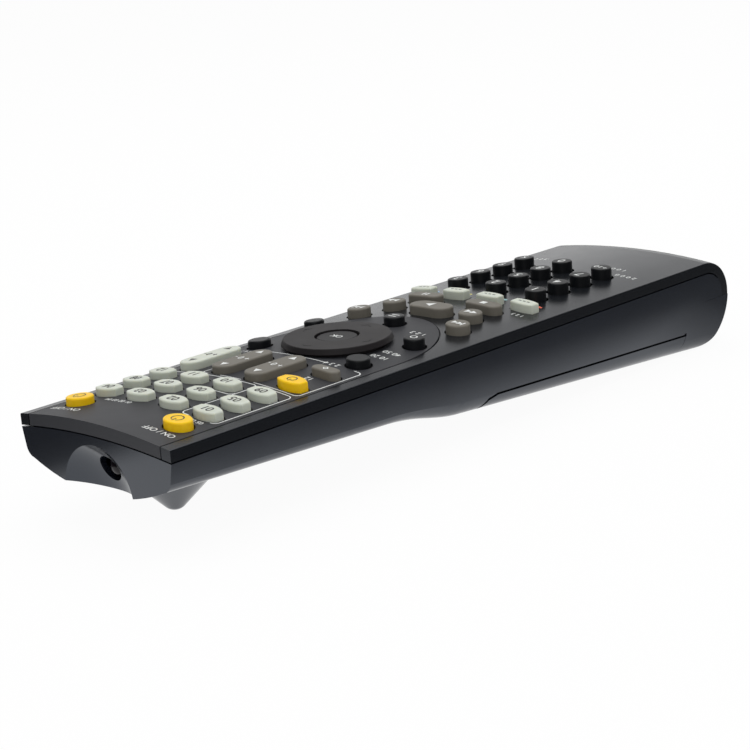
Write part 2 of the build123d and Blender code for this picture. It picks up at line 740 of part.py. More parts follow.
# Infrared lamp: a domed body with a rim, and two legs that bend up to the board
board_underside = BOARD_DEPTH + BOARD_THICKNESS
leg_run = LED_BEND_SETBACK - led_rear
leg_height = LED_DEPTH + LED_LEG / 2 - board_underside
with BuildPart() as ir_led:
    with Locations((0, along(LED_TIP_SETBACK + LED_RADIUS), level(LED_DEPTH))):
        Sphere(LED_RADIUS)
    with BuildSketch(station(LED_TIP_SETBACK + LED_RADIUS)):
        with Locations((0, level(LED_DEPTH))):
            Circle(LED_RADIUS)
    extrude(amount=LED_LENGTH - LED_RADIUS)
    with BuildSketch(station(led_rear - LED_RIM_THICKNESS)):
        with Locations((0, level(LED_DEPTH))):
            Circle(LED_RIM_RADIUS)
    extrude(amount=LED_RIM_THICKNESS)
    for side in (-LED_LEG_SPACING / 2, LED_LEG_SPACING / 2):
        with Locations((side, along(led_rear + leg_run / 2), level(LED_DEPTH))):
            Box(LED_LEG, leg_run, LED_LEG)
        with Locations((side, along(LED_BEND_SETBACK), level(board_underside + leg_height / 2))):
            Box(LED_LEG, LED_LEG, leg_height)
save(ir_led.part, "ir_led")

# Keypad mat and circuit board, held against the bosses by five screws
sheet_middle = along((MAT_START + MAT_END) / 2)
with BuildPart() as keypad_mat:
    with BuildSketch(Plane.XY.offset(level(BOARD_DEPTH))):
        with Locations((0, sheet_middle)):
            Rectangle(2 * BOARD_HALF_WIDTH, MAT_END - MAT_START)
        with Locations(*[(across, along(setback)) for across, setback in BOSS_PLACES]):
            Circle(BOSS_RADIUS + BOSS_CLEARANCE, mode=Mode.SUBTRACT)
        with Locations((0, along(DIAL_SETBACK))):
            Circle(DIAL_ROOM_RADIUS, mode=Mode.SUBTRACT)
    extrude(amount=MAT_THICKNESS)
save(keypad_mat.part, "keypad_mat")

pivot_bottom = ACTUATOR_DEPTH + ACTUATOR_THICKNESS + PIVOT_GAP
pivot_length = ACTUATOR_OUTER - ACTUATOR_INNER
pivot_middle = (ACTUATOR_OUTER + ACTUATOR_INNER) / 2
with BuildPart() as circuit_board:
    with BuildSketch(Plane.XY.offset(level(board_underside))):
        with Locations((0, along((BOARD_START + BOARD_END) / 2))):
            Rectangle(2 * BOARD_HALF_WIDTH, BOARD_END - BOARD_START)
        with Locations(*[(across, along(setback)) for across, setback in BOSS_PLACES]):
            Circle(SCREW_RADIUS + SCREW_FIT, mode=Mode.SUBTRACT)
    extrude(amount=BOARD_THICKNESS)
    with BuildSketch(Plane.XY.offset(level(BOARD_DEPTH))):
        with Locations((0, along(DIAL_SETBACK - pivot_middle)), (0, along(DIAL_SETBACK + pivot_middle))):
            Rectangle(PIVOT_WIDTH, pivot_length)
    extrude(amount=BOARD_DEPTH - pivot_bottom)
    for across, setback, length, width, height in BOARD_PARTS:
        with BuildSketch(Plane.XY.offset(level(board_underside))):
            with Locations((across, along(setback))):
                Rectangle(length, width)
        extrude(amount=-height)
save(circuit_board.part, "circuit_board")

with BuildPart() as screws:
    with BuildSketch(Plane.XY.offset(level(board_underside))):
        with Locations(*[(across, along(setback)) for across, setback in BOSS_PLACES]):
            Circle(SCREW_HEAD_RADIUS)
    extrude(amount=-SCREW_HEAD_THICKNESS)
    with BuildSketch(Plane.XY.offset(level(board_underside))):
        with Locations(*[(across, along(setback)) for across, setback in BOSS_PLACES]):
            Circle(SCREW_RADIUS)
    extrude(amount=SCREW_LENGTH)
save(screws.part, "screws")

# Two cells that lie head to tail, and the plates and springs that join them
with BuildPart() as batteries:
    for across, nub_start in CELL_NUBS:
        with BuildSketch(cell_plane(across, 0)):
            Circle(CELL_RADIUS)
        extrude(amount=CELL_LENGTH)
        with BuildSketch(cell_plane(across, nub_start)):
            Circle(CELL_NUB_RADIUS)
        extrude(amount=CELL_NUB_LENGTH)
save(batteries.part, "batteries")

contact_gap = SPRING_LENGTH - CELL_NUB_LENGTH
rear_plate = CELL_LENGTH + SPRING_LENGTH
front_plate = -SPRING_LENGTH - CONTACT_PLATE
with BuildPart() as battery_contacts:
    for across, nub_start in CELL_NUBS:
        with BuildSketch(cell_plane(across, front_plate)):
            Rectangle(CONTACT_SIZE, CONTACT_SIZE)
        extrude(amount=CONTACT_PLATE)
        nub_at_front = nub_start < 0
        bump_start = -SPRING_LENGTH if nub_at_front else rear_plate - contact_gap
        with BuildSketch(cell_plane(across, bump_start)):
            Circle(SPRING_TIP_RADIUS)
        extrude(amount=contact_gap)
        spring_base = cell_plane(across, rear_plate if nub_at_front else -SPRING_LENGTH)
        spring_way = -SPRING_LENGTH if nub_at_front else SPRING_LENGTH
        with BuildSketch(spring_base):
            Circle(SPRING_RADIUS)
        with BuildSketch(spring_base.offset(spring_way)):
            Circle(SPRING_TIP_RADIUS)
        loft()
    with BuildSketch(cell_plane(0, rear_plate)):
        Rectangle(CELL_SPACING + CONTACT_SIZE, CONTACT_SIZE)
    extrude(amount=CONTACT_PLATE)
save(battery_contacts.part, "battery_contacts")

# Dial: a tilting ring on a tilting plate, round a separate enter key
rim_height = DIAL_HEIGHT - DIAL_RIM_THICKNESS
with BuildPart() as dial_ring:
    with BuildSketch(Plane.XY.offset(level(-rim_height))):
        with Locations((0, along(DIAL_SETBACK))):
            Circle(DIAL_RIM_RADIUS)
    with BuildSketch(Plane.XY.offset(level(-DIAL_HEIGHT))):
        with Locations((0, along(DIAL_SETBACK))):
            Circle(DIAL_TOP_RADIUS)
    loft()
    fillet(dial_ring.faces().sort_by(Axis.Z)[-1].edges(), DIAL_EDGE_ROUND)
    with BuildSketch(Plane.XY.offset(level(DIAL_FLANGE_DEPTH))):
        with Locations((0, along(DIAL_SETBACK))):
            Circle(DIAL_NECK_RADIUS)
    extrude(amount=DIAL_FLANGE_DEPTH + rim_height)
    with BuildSketch(Plane.XY.offset(level(DIAL_FLANGE_DEPTH))):
        with Locations((0, along(DIAL_SETBACK))):
            Circle(DIAL_FLANGE_RADIUS)
    extrude(amount=-FLANGE_THICKNESS)
    with BuildSketch(Plane.XY.offset(level(DIAL_FLANGE_DEPTH + FLANGE_THICKNESS))):
        with Locations((0, along(DIAL_SETBACK))):
            Circle(DIAL_BORE_RADIUS)
    extrude(amount=PRISM_HEIGHT, mode=Mode.SUBTRACT)
save(dial_ring.part, "dial_ring")

with BuildPart() as enter_key:
    with BuildSketch(Plane.XY.offset(level(ENTER_DEPTH))):
        with Locations((0, along(DIAL_SETBACK))):
            Circle(ENTER_RADIUS)
    extrude(amount=ENTER_DEPTH + ENTER_HEIGHT)
    fillet(enter_key.faces().sort_by(Axis.Z)[-1].edges(), ENTER_EDGE_ROUND)
    with BuildSketch(Plane.XY.offset(level(ENTER_DEPTH))):
        with Locations((0, along(DIAL_SETBACK))):
            Circle(ENTER_FLANGE_RADIUS)
    extrude(amount=ENTER_FLANGE_THICKNESS)
save(enter_key.part, "enter_key")

ridge_height = ACTUATOR_DEPTH - DIAL_FLANGE_DEPTH - FLANGE_THICKNESS - PIVOT_GAP
with BuildPart() as dial_actuator:
    with BuildSketch(Plane.XY.offset(level(ACTUATOR_DEPTH))):
        with Locations((0, along(DIAL_SETBACK))):
            Circle(ACTUATOR_OUTER)
            Circle(ACTUATOR_INNER, mode=Mode.SUBTRACT)
    extrude(amount=-ACTUATOR_THICKNESS)
    with BuildSketch(Plane.XY.offset(level(ACTUATOR_DEPTH))):
        with Locations((-pivot_middle, along(DIAL_SETBACK)), (pivot_middle, along(DIAL_SETBACK))):
            Rectangle(pivot_length, PIVOT_WIDTH)
    extrude(amount=ridge_height)
save(dial_actuator.part, "dial_actuator")

# Keys and rockers
for name, shape, length, width, across, setback, height in KEYS:
    rounding = NUMBER_EDGE_ROUND if name.startswith("number_key") else KEY_EDGE_ROUND
    save(build_key(shape, length, width, across, setback, height, FLANGE_SLACK, rounding), name)
for name, shape, length, width, across, setback, height in ROCKERS:
    save(build_key(shape, length, width, across, setback, height, ROCKER_SLACK, KEY_EDGE_ROUND), name)
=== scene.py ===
# %% [markdown]
# # A home theater remote control
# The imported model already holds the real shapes: the two case halves, the face panel, every key
# and the dial. Blender adds what paint, moulding and printing add to the real thing. Everything
# is in metres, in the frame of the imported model: +Z is up, +Y points to the sending end, and the
# keys are read from the tail.

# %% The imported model
import json
import math

import bmesh
import bpy
from mathutils import Matrix, Vector


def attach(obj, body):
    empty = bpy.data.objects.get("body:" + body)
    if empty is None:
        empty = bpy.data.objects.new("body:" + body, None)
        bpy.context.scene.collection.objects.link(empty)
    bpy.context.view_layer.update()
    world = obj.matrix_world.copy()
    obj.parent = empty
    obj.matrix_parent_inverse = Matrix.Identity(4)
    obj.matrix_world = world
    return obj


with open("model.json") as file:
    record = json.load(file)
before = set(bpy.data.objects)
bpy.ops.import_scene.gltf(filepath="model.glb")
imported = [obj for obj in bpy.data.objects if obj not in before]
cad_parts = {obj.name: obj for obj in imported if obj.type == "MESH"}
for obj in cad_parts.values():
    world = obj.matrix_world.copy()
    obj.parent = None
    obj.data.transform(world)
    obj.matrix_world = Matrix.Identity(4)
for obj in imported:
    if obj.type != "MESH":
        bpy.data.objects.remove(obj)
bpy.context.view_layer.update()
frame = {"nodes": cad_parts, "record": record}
MM = 0.001

# %% [markdown]
# The case has a crowned face, so a place on it is given as a distance across, a setback from the
# front edge and a height above the face, in millimetres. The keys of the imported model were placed
# in the same way, so a sign that is given its key's numbers lies over the middle of that key.

# %% Places on the crowned face
FRONT_Y = 108.05 * MM
CROWN_Z = 27.1 * MM
CROWN_RADIUS = 221.98 * MM


def place(across, setback, height=0.0):
    """Point at a distance across and behind the front edge, above the crowned face, in mm."""
    x = across * MM
    crown = CROWN_Z - CROWN_RADIUS + math.sqrt(CROWN_RADIUS**2 - x**2)
    return Vector((x, FRONT_Y - setback * MM, crown + height * MM))


print("middle of the front edge in mm:", [round(v / MM, 2) for v in place(0, 0)])

# %% [markdown]
# The camera stands low in front of the near corner, as for a catalogue picture taken with a long
# lens. Its three directions are written as unit vectors, because they were solved together.

# %% Camera
# Side of the picture and focal length in pixels, sensor in mm, and the nearest point seen in m
IMAGE_SIDE = 750
FOCAL_PIXELS = 1956.6
SENSOR_WIDTH = 36.0
NEAREST_SEEN = 0.01
CAMERA_AT = [v * MM for v in (-349.326, 364.162, 152.667)]
CAMERA_RIGHT = (-0.71821, -0.69225, -0.07051)
CAMERA_UP = (0.13724, -0.24026, 0.96096)
CAMERA_FORWARD = (0.68216, -0.68049, -0.26756)
camera_data = bpy.data.cameras.new("catalogue_view")
camera_data.sensor_width = SENSOR_WIDTH
camera_data.lens = FOCAL_PIXELS * SENSOR_WIDTH / IMAGE_SIDE
camera_data.clip_start = NEAREST_SEEN
camera = bpy.data.objects.new("catalogue_view", camera_data)
bpy.context.scene.collection.objects.link(camera)
camera.matrix_world = Matrix(
    [
        (sideways, upward, -onward, start)
        for sideways, upward, onward, start in zip(
            CAMERA_RIGHT, CAMERA_UP, CAMERA_FORWARD, CAMERA_AT
        )
    ]
    + [(0, 0, 0, 1)]
)
bpy.context.scene.camera = camera
print("lens:", round(camera_data.lens, 2), "mm")

# %% [markdown]
# Every finish is a small tree of nodes. One function adds a node, sets it up and wires its
# inputs, and another turns a written sRGB colour into the linear one that the shaders expect.

# %% Helpers for finishes


def linear(code):
    """Linear colour from an sRGB hex value such as "#808080", by the standard sRGB curve."""
    channels = [int(code[i : i + 2], 16) / 255 for i in (1, 3, 5)]
    return [c / 12.92 if c <= 0.04045 else ((c + 0.055) / 1.055) ** 2.4 for c in channels] + [1.0]


def node(tree, kind, links=(), **settings):
    """Adds a node. Settings are its properties or inputs, links are (input, output socket)."""
    made = tree.nodes.new(kind)
    for name, value in settings.items():
        if hasattr(made, name):
            setattr(made, name, value)
        else:
            made.inputs[name.replace("_", " ")].default_value = value
    for name, socket in links:
        tree.links.new(socket, made.inputs[name])
    return made


def empty_material(name):
    """A new material with an empty tree, ready for its own nodes."""
    material = bpy.data.materials.new(name)
    material.use_nodes = True
    material.node_tree.nodes.clear()
    return material


print("middle grey in linear light:", [round(c, 3) for c in linear("#808080")])

# %% [markdown]
# Nearly every piece is moulded or painted, and such a skin has three things in common: its colour
# drifts slowly, since no melt or lacquer is quite even; it has a fine grain from the mould or the
# spray; and its gloss varies in spots where hands have rubbed it. One function builds all three
# from noise, and each finish gives it its own colours, gloss and grain.

# %% A moulded or painted skin
# Real sizes in mm: a patch of the colour drift, a rubbed spot, and the height of the grain
DRIFT_SIZE = 28.57
RUBBED_SIZE = 6.25
GRAIN_HEIGHT = 0.05


def moulded(name, colour, shade, roughness, spread, grain_mm, bump, **sockets):
    """A moulded or painted surface: a slow colour drift, a fine grain and a varying gloss.

    The colour drifts from colour to shade, and the roughness varies by spread both ways. The
    grain has its size in mm and stands out by bump, from nought to one.
    """
    material = empty_material(name)
    tree = material.node_tree
    spot = node(tree, "ShaderNodeTexCoord").outputs["Object"]
    drift = node(
        tree, "ShaderNodeTexNoise", [("Vector", spot)], Scale=1 / (DRIFT_SIZE * MM), Detail=3.0
    )
    tint = node(tree, "ShaderNodeMix", [("Factor", drift.outputs["Fac"])], data_type="RGBA")
    tint.inputs["A"].default_value = linear(colour)
    tint.inputs["B"].default_value = linear(shade)
    grain = node(
        tree, "ShaderNodeTexNoise", [("Vector", spot)], Scale=1 / (grain_mm * MM), Detail=2.0
    )
    relief = node(
        tree, "ShaderNodeBump", [("Height", grain.outputs["Fac"])],
        Strength=bump, Distance=GRAIN_HEIGHT * MM,
    )
    rubbed = node(
        tree, "ShaderNodeTexNoise", [("Vector", spot)], Scale=1 / (RUBBED_SIZE * MM), Detail=4.0
    )
    gloss = node(
        tree, "ShaderNodeMapRange", [("Value", rubbed.outputs["Fac"])],
        To_Min=roughness - spread, To_Max=roughness + spread,
    )
    skin = node(
        tree,
        "ShaderNodeBsdfPrincipled",
        [
            ("Base Color", tint.outputs["Result"]),
            ("Roughness", gloss.outputs["Result"]),
            ("Normal", relief.outputs["Normal"]),
        ],
    )
    for socket, value in sockets.items():
        skin.inputs[socket.replace("_", " ")].default_value = value
    node(tree, "ShaderNodeOutputMaterial", [("Surface", skin.outputs["BSDF"])])
    return material


print("patches of colour:", DRIFT_SIZE, "mm, rubbed spots:", RUBBED_SIZE, "mm")

# %% [markdown]
# The case halves are moulded in ABS. The upper one is satin and mirrors the pale room at a low
# angle, and the lower one has a fine spark-eroded texture and a bluer tone. The face panel is
# lacquered: it scatters what it mirrors, so it stays an even dark grey. The grain is 0.4 mm here,
# a little coarser than the real one, so that it still shows.

# %% Finishes of the case
GRAIN = 0.4
# Tint of what the black halves mirror
COOL = (0.84, 0.9, 1.0, 1.0)
finishes = {
    # Satin: dark, with a soft cool sheen that follows the crown
    "case_top": moulded(
        "satin_moulded_abs", "#121417", "#16181c", 0.24, 0.03, GRAIN, 0.08, Specular_Tint=COOL
    ),
    # Spark-eroded: its flats mirror the table at a low angle
    "case_bottom": moulded(
        "textured_moulded_abs", "#12151c", "#161a22", 0.14, 0.03, GRAIN, 0.12,
        Specular_IOR_Level=0.9, Specular_Tint=COOL,
    ),
    # Lacquer: even grey with hardly any mirror
    "panel": moulded(
        "satin_grey_lacquer", "#323337", "#37383c", 0.5, 0.03, GRAIN, 0.08, Specular_IOR_Level=0.35
    ),
    # Brown ABS: a dull, slightly warm disc among the black keys
    "dial": moulded(
        "satin_brown_abs", "#242123", "#292627", 0.5, 0.04, GRAIN, 0.12, Specular_IOR_Level=0.2
    ),
    # Dark ABS: a little smoother than the dial round it
    "enter": moulded(
        "satin_dark_abs", "#232224", "#282729", 0.48, 0.04, GRAIN, 0.1, Specular_IOR_Level=0.2
    ),
}
print("case finishes:", sorted(finishes))

# %% [markdown]
# The keys are cast in silicone rubber. The white and amber ones let light in, so they get some
# subsurface scattering, which also softens their edges. The grey and black ones are opaque. The
# grain of 0.5 to 0.6 mm is coarser than that of real rubber, so that it still shows.

# %% Finishes of the keys
# Milky: light spreads under the skin and makes the small keys glow a little
finishes["key_white"] = moulded(
    "milky_silicone", "#c8cdc0", "#d0d5c8", 0.42, 0.05, 0.6, 0.05,
    Subsurface_Weight=0.35, Subsurface_Scale=1.2 * MM, Subsurface_Radius=(1.0, 0.9, 0.7),
)
# Amber: red travels farthest in it, so the edges turn warmer
finishes["key_yellow"] = moulded(
    "amber_silicone", "#ffd00e", "#fcc80c", 0.4, 0.05, 0.6, 0.05, Specular_IOR_Level=0.3,
    Subsurface_Weight=0.2, Subsurface_Scale=1.0 * MM, Subsurface_Radius=(1.0, 0.5, 0.1),
)
# Warm grey: matt and opaque
finishes["key_grey"] = moulded(
    "warm_grey_silicone", "#6c685f", "#747067", 0.5, 0.06, 0.5, 0.12, Specular_IOR_Level=0.35
)
# Black: a soft highlight on each dome tells it from the case
finishes["key_black"] = moulded(
    "black_silicone", "#0f1114", "#14161a", 0.42, 0.06, 0.5, 0.12, Specular_IOR_Level=0.35
)
print("key finishes:", sorted(name for name in finishes if name.startswith("key_")))

# %% [markdown]
# Inside lie the pieces that show only when the battery door slides away: sprung contacts, two
# cells in a printed sleeve, the board and the rubber mat. The lamp is cast in smoked epoxy. The
# two metals are plated, so their colour sits in the mirror and not under it.

# %% Finishes of the inner pieces
# Acetal: waxy off-white
finishes["actuator"] = moulded("natural_acetal", "#d8d6cc", "#cfccc0", 0.45, 0.05, 0.5, 0.1)
# Epoxy: nearly black and smooth, with one clear highlight on its dome
finishes["lamp"] = moulded(
    "smoked_epoxy", "#0c080c", "#120c11", 0.12, 0.02, 2.0, 0.02, Specular_IOR_Level=0.3
)
# Silicone sheet: dull dark grey
finishes["mat"] = moulded("dark_silicone_sheet", "#2b2d30", "#323437", 0.6, 0.05, 0.5, 0.2)
# Solder mask: glossy green with shallow waves where the resist has flowed
finishes["board"] = moulded("green_solder_mask", "#1f5a34", "#184a2a", 0.3, 0.05, 1.4, 0.3)
# Zinc: greyish mirror with a frosted grain
finishes["fixing"] = moulded(
    "zinc_plated_steel", "#b0b2b5", "#9c9fa3", 0.35, 0.08, 0.3, 0.2, Metallic=1.0
)
# Nickel: brighter and smoother than zinc
finishes["contact"] = moulded(
    "nickel_plated_steel", "#c8c9cb", "#b9babd", 0.25, 0.05, 0.4, 0.1, Metallic=1.0
)
# Shrink sleeve: glossy blue-grey film, slightly rippled
finishes["cell"] = moulded("printed_cell_sleeve", "#2e3f55", "#27384e", 0.3, 0.05, 3.0, 0.05)
print("all finishes:", len(finishes))

# %% [markdown]
# Each node of the imported model names its material slot, so the finishes are handed out by slot.

# %% Finishes on the imported pieces
slot_of = {row["node"]: row["material_slot"] for row in frame["record"]["subparts"]}
for name, slot in slot_of.items():
    for holder in frame["nodes"][name].material_slots:
        holder.material = finishes[slot]
print("pieces with a finish:", len(slot_of))

# %% [markdown]
# Legends are silk-screened: a film of ink a few hundredths of a millimetre thick, pressed through
# a mesh. Ink dries satin and a little uneven, so it shares the skin of the moulded pieces, with a
# finer grain. The colours are those of the print: white on dark pieces and dark on pale ones.

# %% Inks
# Roughness, how much it varies, size of the grain in mm and its bump
INK_LOOK = (0.45, 0.05, 0.3, 0.05)
DULL_INK_LOOK = (0.6, 0.05, 0.3, 0.05)
ink = {
    # Opaque whites and darks, which read clearly on any key
    "white": moulded("white_screen_ink", "#dfe2e0", "#e8eae8", *INK_LOOK),
    "dark": moulded("dark_screen_ink", "#2a2522", "#332d29", *INK_LOOK),
    # Duller than the dial below it, so that the chevrons show by gloss as well as by tone
    "black": moulded("black_screen_ink", "#0b0a0a", "#100f0f", *DULL_INK_LOOK),
    # Chalky tints, the only colours on the case
    "red": moulded("coral_screen_ink", "#e0644a", "#e77258", *INK_LOOK),
    "green": moulded("sea_green_screen_ink", "#8fb7b8", "#9bc0c0", *INK_LOOK),
    "yellow": moulded("yellow_screen_ink", "#d9d37a", "#e0da88", *INK_LOOK),
    "blue": moulded("blue_screen_ink", "#7fa3c4", "#8badcb", *INK_LOOK),
}
print("inks:", sorted(ink))

# %% [markdown]
# A legend starts as flat shapes that hover over the face. Circles with few or many sides give
# dots, triangles and squares, a grid gives a bar that can bend with the crown, and an inset turns
# a disc into a ring.

# %% Drawing tools for flat shapes
# Height of the flat shapes above the face, and the most between two cuts of a bar, in mm
HOVER = 6.0
BAR_CUT = 1.0


def deselect():
    """Nothing is selected after this, so an operator meets only what comes next."""
    bpy.ops.object.select_all(action="DESELECT")


def disc(across, setback, radius, sides=32, turn=0.0):
    """Flat polygon above the face, with three sides for a triangle and four for a square."""
    deselect()
    bpy.ops.mesh.primitive_circle_add(
        vertices=sides,
        radius=radius * MM,
        fill_type="NGON",
        location=place(across, setback, HOVER),
        rotation=(0, 0, math.radians(turn)),
    )
    return bpy.context.object


def bar(across, setback, length, width, turn=0.0):
    """Flat rectangle above the face, cut along its length so that it can bend."""
    deselect()
    bpy.ops.mesh.primitive_grid_add(
        x_subdivisions=max(1, math.ceil(length / BAR_CUT)),
        y_subdivisions=1,
        size=1.0,
        location=place(across, setback, HOVER),
        rotation=(0, 0, math.radians(turn)),
    )
    flat = bpy.context.object
    flat.scale = (length * MM, width * MM, 1.0)
    return flat


def ring(across, setback, radius, width, sides=40):
    """Flat ring: a disc is inset, and the face inside the inset is deleted."""
    flat = disc(across, setback, radius, sides)
    bpy.ops.object.mode_set(mode="EDIT")
    bpy.ops.mesh.select_all(action="SELECT")
    bpy.ops.mesh.inset(thickness=width * MM)
    bpy.ops.mesh.delete(type="FACE")
    bpy.ops.object.mode_set(mode="OBJECT")
    return flat


print("flat shapes start", HOVER, "mm above the face")

# %% [markdown]
# Numbers and plain signs are set in Blender's own font and turned into a mesh before they get
# their place. Their strokes are fattened a little, as ink spreads when it is pressed on.

# %% Numbers and plain signs
# Size of the font and how far its strokes are fattened, both as shares of a digit's height
FONT_SIZE_PER_HEIGHT = 1.38
FONT_WEIGHT = 0.012


def words(text, across, setback, height):
    """Plain numbers or signs above the face, with the height of their digits in mm."""
    deselect()
    bpy.ops.object.text_add()
    drawn = bpy.context.object
    drawn.data.body = text
    drawn.data.size = height * MM * FONT_SIZE_PER_HEIGHT
    drawn.data.align_x = "CENTER"
    drawn.data.align_y = "CENTER"
    drawn.data.offset = FONT_WEIGHT * height * MM
    bpy.ops.object.convert(target="MESH")
    flat = bpy.context.object
    flat.location = place(across, setback, HOVER)
    return flat


print("size of the font:", FONT_SIZE_PER_HEIGHT, "times the height of a digit")

# %% [markdown]
# The flat shapes are joined, dropped straight down on the piece that carries them by a Shrinkwrap
# modifier, and given their thickness by Solidify, so the film follows every dome and the crown.
# What misses the piece, as over a hole, stays near its start and is deleted.

# %% Dropping the ink on a surface
# Thickness of the film, how deep it starts, and how near to its start a missed point is, in mm
INK_FILM = 0.04
INK_SUNK = 0.01
MISSED = 1.5


def print_on(name, carrier, body, colour, shapes):
    """Joins flat shapes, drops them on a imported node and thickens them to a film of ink."""
    deselect()
    for flat in shapes:
        flat.select_set(True)
    film = shapes[0]
    bpy.context.view_layer.objects.active = film
    bpy.ops.object.transform_apply(location=True, rotation=True, scale=True)
    if len(shapes) > 1:
        bpy.ops.object.join()
    film.name = name
    film.data.name = name
    drop = film.modifiers.new("drop", "SHRINKWRAP")
    drop.target = frame["nodes"][carrier]
    drop.wrap_method = "PROJECT"
    drop.use_project_z = True
    drop.use_negative_direction = True
    drop.use_positive_direction = False
    drop.offset = -INK_SUNK * MM
    thicken = film.modifiers.new("thicken", "SOLIDIFY")
    thicken.thickness = INK_FILM * MM
    thicken.offset = 1.0
    bpy.ops.object.modifier_apply(modifier="drop")
    bpy.ops.object.mode_set(mode="EDIT")
    mesh = bmesh.from_edit_mesh(film.data)
    bpy.ops.mesh.select_all(action="DESELECT")
    for point in mesh.verts:
        point.select = point.co.z > place(point.co.x / MM, 0, HOVER - MISSED).z
    mesh.select_flush_mode()
    bmesh.update_edit_mesh(film.data)
    bpy.ops.mesh.delete(type="VERT")
    bpy.ops.object.mode_set(mode="OBJECT")
    bpy.ops.object.modifier_apply(modifier="thicken")
    film.data.materials.clear()
    film.data.materials.append(ink[colour])
    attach(film, body)
    return film


print("film of ink:", INK_FILM, "mm, of which", INK_SUNK, "mm lies in the surface")

# %% [markdown]
# The number keys carry their digits, tops towards the sending end. The keys of the source block
# get plain numbers in dark ink, and the last key of the pad a plain cross. Both blocks are grids,
# so a first place and two pitches are enough to find every key.

# %% Numbers on the keys
# Pitch across and lengthwise, setback of the first row, columns and height of a digit, in mm
NUMBER_PITCH = (14.13, 9.73)
NUMBER_FIRST = 142.15
NUMBER_COLUMNS = 3
NUMBER_HEIGHT, LONG_NUMBER_HEIGHT = 2.9, 2.0
INPUT_PITCH = (11.99, 8.41)
INPUT_FIRST = 19.8
INPUT_COLUMNS = 4
INPUT_HEIGHT = 2.4
PAD_SIGNS = ["1", "2", "3", "4", "5", "6", "7", "8", "9", "+10", "0", "x"]
INPUT_SIGNS = [f"{number:02d}" for number in range(1, 13)]


def in_grid(index, columns, pitch, first):
    """Across and setback of a key in a centred grid that is counted from its front left."""
    row, column = divmod(index, columns)
    return (column - (columns - 1) / 2) * pitch[0], first + row * pitch[1]


for index, sign in enumerate(PAD_SIGNS):
    key = f"number_key_{index + 1:02d}"
    spot = in_grid(index, NUMBER_COLUMNS, NUMBER_PITCH, NUMBER_FIRST)
    height = NUMBER_HEIGHT if len(sign) == 1 else LONG_NUMBER_HEIGHT
    print_on(f"{key}_digit", key, key, "white", [words(sign, *spot, height)])
for index, sign in enumerate(INPUT_SIGNS):
    key = f"input_key_{sign}"
    spot = in_grid(index, INPUT_COLUMNS, INPUT_PITCH, INPUT_FIRST)
    print_on(f"{key}_digit", key, key, "dark", [words(sign, *spot, INPUT_HEIGHT)])
print("numbered keys:", len(PAD_SIGNS) + len(INPUT_SIGNS))

# %% [markdown]
# The other keys stand outside these grids. Their places are written once, as across and setback
# in mm, and a short function prints a sign on a key and lets it move with that key.

# %% Places of the keys with a sign
OUTER_COLUMN = 17.98
KEY_AT = {
    "receiver_power_key": (-OUTER_COLUMN, 10.8),
    "source_power_key": (OUTER_COLUMN, 10.8),
    "tv_power_key": (-OUTER_COLUMN, 46.6),
    "tv_input_key": (-OUTER_COLUMN, 57.8),
    "return_key": (-18.1, 89.1),
    "display_key": (0.0, 101.0),
    "skip_back_key": (-17.9, 105.95),
    "skip_forward_key": (17.9, 105.95),
    "rewind_key": (-13.8, 115.6),
    "fast_forward_key": (13.8, 115.6),
    "play_key": (0.0, 115.5),
    "stop_key": (-10.5, 124.8),
    "pause_key": (10.5, 124.8),
    "red_key": (-18.2, 132.5),
    "green_key": (-6.1, 132.5),
    "yellow_key": (6.1, 132.5),
    "blue_key": (18.2, 132.5),
}


def sign_on(key, shapes, colour="white"):
    """Prints flat shapes as the sign of a key, which carries it."""
    return print_on(f"{key}_sign", key, key, colour, shapes)


print("keys with a sign:", len(KEY_AT))

# %% [markdown]
# The power keys share one sign, an open ring with a bar in its gap. The ring is drawn whole, and
# the faces behind the bar are deleted.

# %% Power signs
# Width of the ring and the bar in mm, and as shares of the ring's radius: half the gap, how far
# out the middle of the bar lies, and its length
SIGN_LINE = 0.3
GAP_SHARE, BAR_OUT, BAR_LENGTH = 0.45, 0.7, 0.9
POWER_SIGN_RADIUS = {"receiver_power_key": 1.6, "source_power_key": 1.6, "tv_power_key": 1.35}


def power_sign(across, setback, radius):
    """Open ring and bar, with the gap towards the sending end."""
    loop = ring(across, setback, radius, SIGN_LINE)
    bpy.ops.object.mode_set(mode="EDIT")
    mesh = bmesh.from_edit_mesh(loop.data)
    for face in mesh.faces:
        middle = face.calc_center_median()
        face.select = middle.y > 0 and abs(middle.x) < GAP_SHARE * radius * MM
    bmesh.update_edit_mesh(loop.data)
    bpy.ops.mesh.delete(type="FACE")
    bpy.ops.object.mode_set(mode="OBJECT")
    return [loop, bar(across, setback - BAR_OUT * radius, BAR_LENGTH * radius, SIGN_LINE, 90)]


for key, radius in POWER_SIGN_RADIUS.items():
    sign_on(key, power_sign(*KEY_AT[key], radius), "dark")
print("power signs:", len(POWER_SIGN_RADIUS))

# %% [markdown]
# The transport keys use the signs that every player has: triangles, bars and a square. The flat
# side of a triangle lies nearer to its middle than its point does, so a pair is shifted a little
# to look centred.

# %% Triangles of the transport keys
# Sizes of the pairs on the wind and skip keys, and radius of the one triangle on the play key
WIND_SIZE, SKIP_SIZE, PLAY_RADIUS = 1.7, 1.5, 1.7
# Shares of the size of a pair: radius of a triangle, and the steps from the middle to each
ARROW_RADIUS, ARROW_STEPS = 0.72, (-0.5, 0.6)
# The skip keys' pair and the bar that it points at, as steps from the middle of the key in mm,
# then length and width of that bar, and the step of the play key's triangle
SKIP_PAIR_STEP, SKIP_BAR_STEP = -0.3, 1.75
SKIP_BAR = (2.2, 0.4)
PLAY_STEP = 0.2


